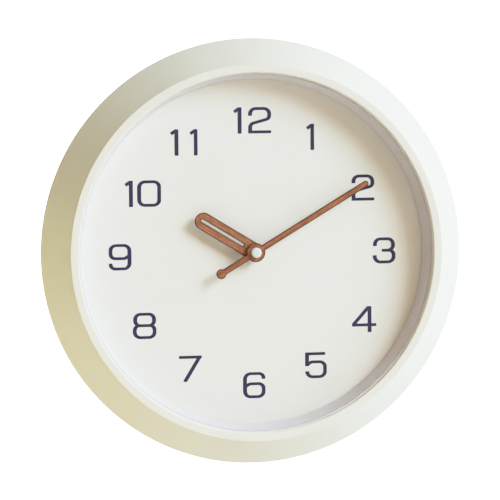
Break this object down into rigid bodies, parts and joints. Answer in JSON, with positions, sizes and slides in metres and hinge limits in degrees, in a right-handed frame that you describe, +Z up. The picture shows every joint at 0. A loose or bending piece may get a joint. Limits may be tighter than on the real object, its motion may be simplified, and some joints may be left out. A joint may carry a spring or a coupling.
{
  "type": "wall clock",
  "caption": "Round analogue wall clock with a sloping bezel, recessed printed dial, long and short wooden hands and a battery quartz movement; hangs from a keyhole in its back.",
  "frame": {"origin": "where the hanging nail rests in the top of the keyhole slot, in the wall plane", "axes": "+Z up, -Y out of the wall toward the viewer along the dial's axis, +X to the viewer's right"},
  "size_m": [0.3, 0.043, 0.3],
  "materials": {
    "bezel_plastic": "satin cream moulded",
    "case_plastic": "fine texture cream moulded",
    "lens_glass": "clear, polished",
    "spacer_plastic": "satin white moulded",
    "dial_sheet": "matt cream white print",
    "hand_wood": "thin oiled veneer with dark cut edges",
    "cap_white": "satin white",
    "screw_steel": "zinc plated",
    "gasket_rubber": "matt black",
    "fixing_brass": "turned",
    "movement_plastic": "matt black moulded",
    "gear_white": "natural acetal",
    "gear_blue": "tinted acetal",
    "knob_white": "satin white",
    "arbor_brass": "turned",
    "spring_steel": "thin sheet",
    "rotor_magnet": "sintered ferrite, matt",
    "core_steel": "punched sheet",
    "bobbin_plastic": "matt black",
    "winding_copper": "enamelled copper wire",
    "board_laminate": "green laminate",
    "chip_resin": "black resin drop",
    "crystal_can": "drawn can",
    "contact_steel": "nickel plated sheet",
    "cell_jacket": "plain printed jacket"
  },
  "bodies": {
    "case": {"bezel": "bezel_plastic", "lens": "lens_glass", "spacer_ring": "spacer_plastic", "dial": "dial_sheet", "back_case": "case_plastic", "case_screw_1": "screw_steel", "case_screw_2": "screw_steel", "case_screw_3": "screw_steel", "case_screw_4": "screw_steel", "gasket": "gasket_rubber", "washer": "fixing_brass", "shaft_nut": "fixing_brass", "movement_case": "movement_plastic", "movement_cover": "movement_plastic", "train_bridge": "gear_white", "stator": "core_steel", "coil_core": "core_steel", "coil_bobbin": "bobbin_plastic", "coil_winding": "winding_copper", "circuit_board": "board_laminate", "timing_chip": "chip_resin", "quartz_crystal": "crystal_can", "positive_contact": "contact_steel", "negative_contact": "contact_steel", "battery": "cell_jacket"},
    "minute_group": {"minute_arbor": "arbor_brass", "clutch_spring": "spring_steel", "minute_hand": "hand_wood", "hand_cap": "cap_white"},
    "hour_group": {"hour_wheel": "gear_blue", "hour_hand": "hand_wood"},
    "minute_work": {"minute_work_wheel": "gear_white"},
    "setting_group": {"setting_shaft": "gear_white", "setting_knob": "knob_white"},
    "rotor": {"rotor_shaft": "gear_white", "rotor_magnet": "rotor_magnet"},
    "intermediate": {"intermediate_wheel": "gear_white"},
    "second": {"second_wheel": "gear_blue"},
    "third": {"third_wheel": "gear_white"},
    "centre": {"centre_wheel": "gear_blue"}
  },
  "joints": [
    {"name": "minute_turn", "type": "hinge", "parent": "case", "child": "minute_group", "pos_m": [0, -0.0156, -0.1], "axis": [0, 1, 0], "continuous": true},
    {"name": "hour_turn", "type": "hinge", "parent": "case", "child": "hour_group", "pos_m": [0, -0.0156, -0.1], "axis": [0, 1, 0], "continuous": true},
    {"name": "minute_work_turn", "type": "hinge", "parent": "case", "child": "minute_work", "pos_m": [-0.00728, -0.0156, -0.0958], "axis": [0, 1, 0], "continuous": true},
    {"name": "setting_turn", "type": "hinge", "parent": "case", "child": "setting_group", "pos_m": [-0.01455, -0.0156, -0.0916], "axis": [0, 1, 0], "continuous": true},
    {"name": "rotor_turn", "type": "hinge", "parent": "case", "child": "rotor", "pos_m": [0.00496, -0.0156, -0.08575], "axis": [0, 1, 0], "continuous": true},
    {"name": "intermediate_turn", "type": "hinge", "parent": "case", "child": "intermediate", "pos_m": [0, -0.0156, -0.08992], "axis": [0, 1, 0], "continuous": true},
    {"name": "second_turn", "type": "hinge", "parent": "case", "child": "second", "pos_m": [0, -0.0156, -0.1], "axis": [0, 1, 0], "continuous": true},
    {"name": "third_turn", "type": "hinge", "parent": "case", "child": "third", "pos_m": [0.01005, -0.0156, -0.09823], "axis": [0, 1, 0], "continuous": true},
    {"name": "centre_turn", "type": "hinge", "parent": "case", "child": "centre", "pos_m": [0, -0.0156, -0.1], "axis": [0, 1, 0], "continuous": true}
  ],
  "couplings": [
    {"joint": "hour_turn", "follows": "minute_turn", "ratio": 0.083333},
    {"joint": "minute_work_turn", "follows": "minute_turn", "ratio": -0.33333},
    {"joint": "setting_turn", "follows": "minute_turn", "ratio": 1},
    {"joint": "intermediate_turn", "follows": "rotor_turn", "ratio": -0.2},
    {"joint": "second_turn", "follows": "rotor_turn", "ratio": 0.033333},
    {"joint": "third_turn", "follows": "rotor_turn", "ratio": -0.0044444},
    {"joint": "centre_turn", "follows": "rotor_turn", "ratio": 0.00055556}
  ]
}
